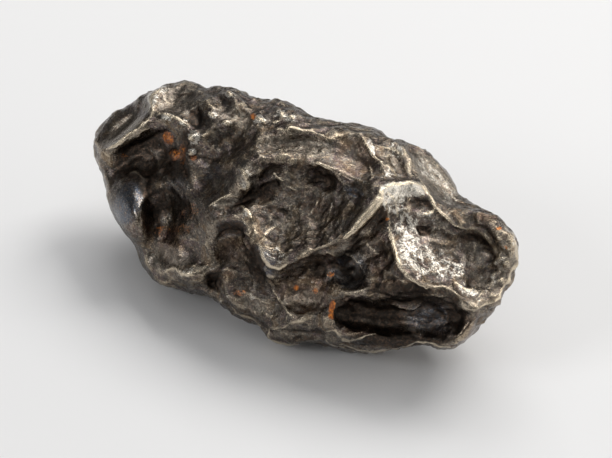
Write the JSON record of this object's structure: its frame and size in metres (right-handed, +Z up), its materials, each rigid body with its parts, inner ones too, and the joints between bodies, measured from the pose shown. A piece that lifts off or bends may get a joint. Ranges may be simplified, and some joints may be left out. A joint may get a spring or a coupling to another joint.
{
  "type": "iron meteorite fragment",
  "caption": "Small iron meteorite: a solid elongated lump with thumbprint hollows and rounded crests, lying on a small flat spot.",
  "frame": {"origin": "middle of the bounding box, on the surface the lump rests on", "axes": "+X along the lump towards its cupped end, +Y away from the side seen in the picture, +Z up"},
  "size_m": [0.0368, 0.0158, 0.0151],
  "materials": {
    "iron": "dark brown to black oxide skin, worn to bare pale metal on the crests and on one facet, rust in a few small pits"
  },
  "bodies": {
    "root": {"meteorite": "iron"}
  },
  "joints": []
}
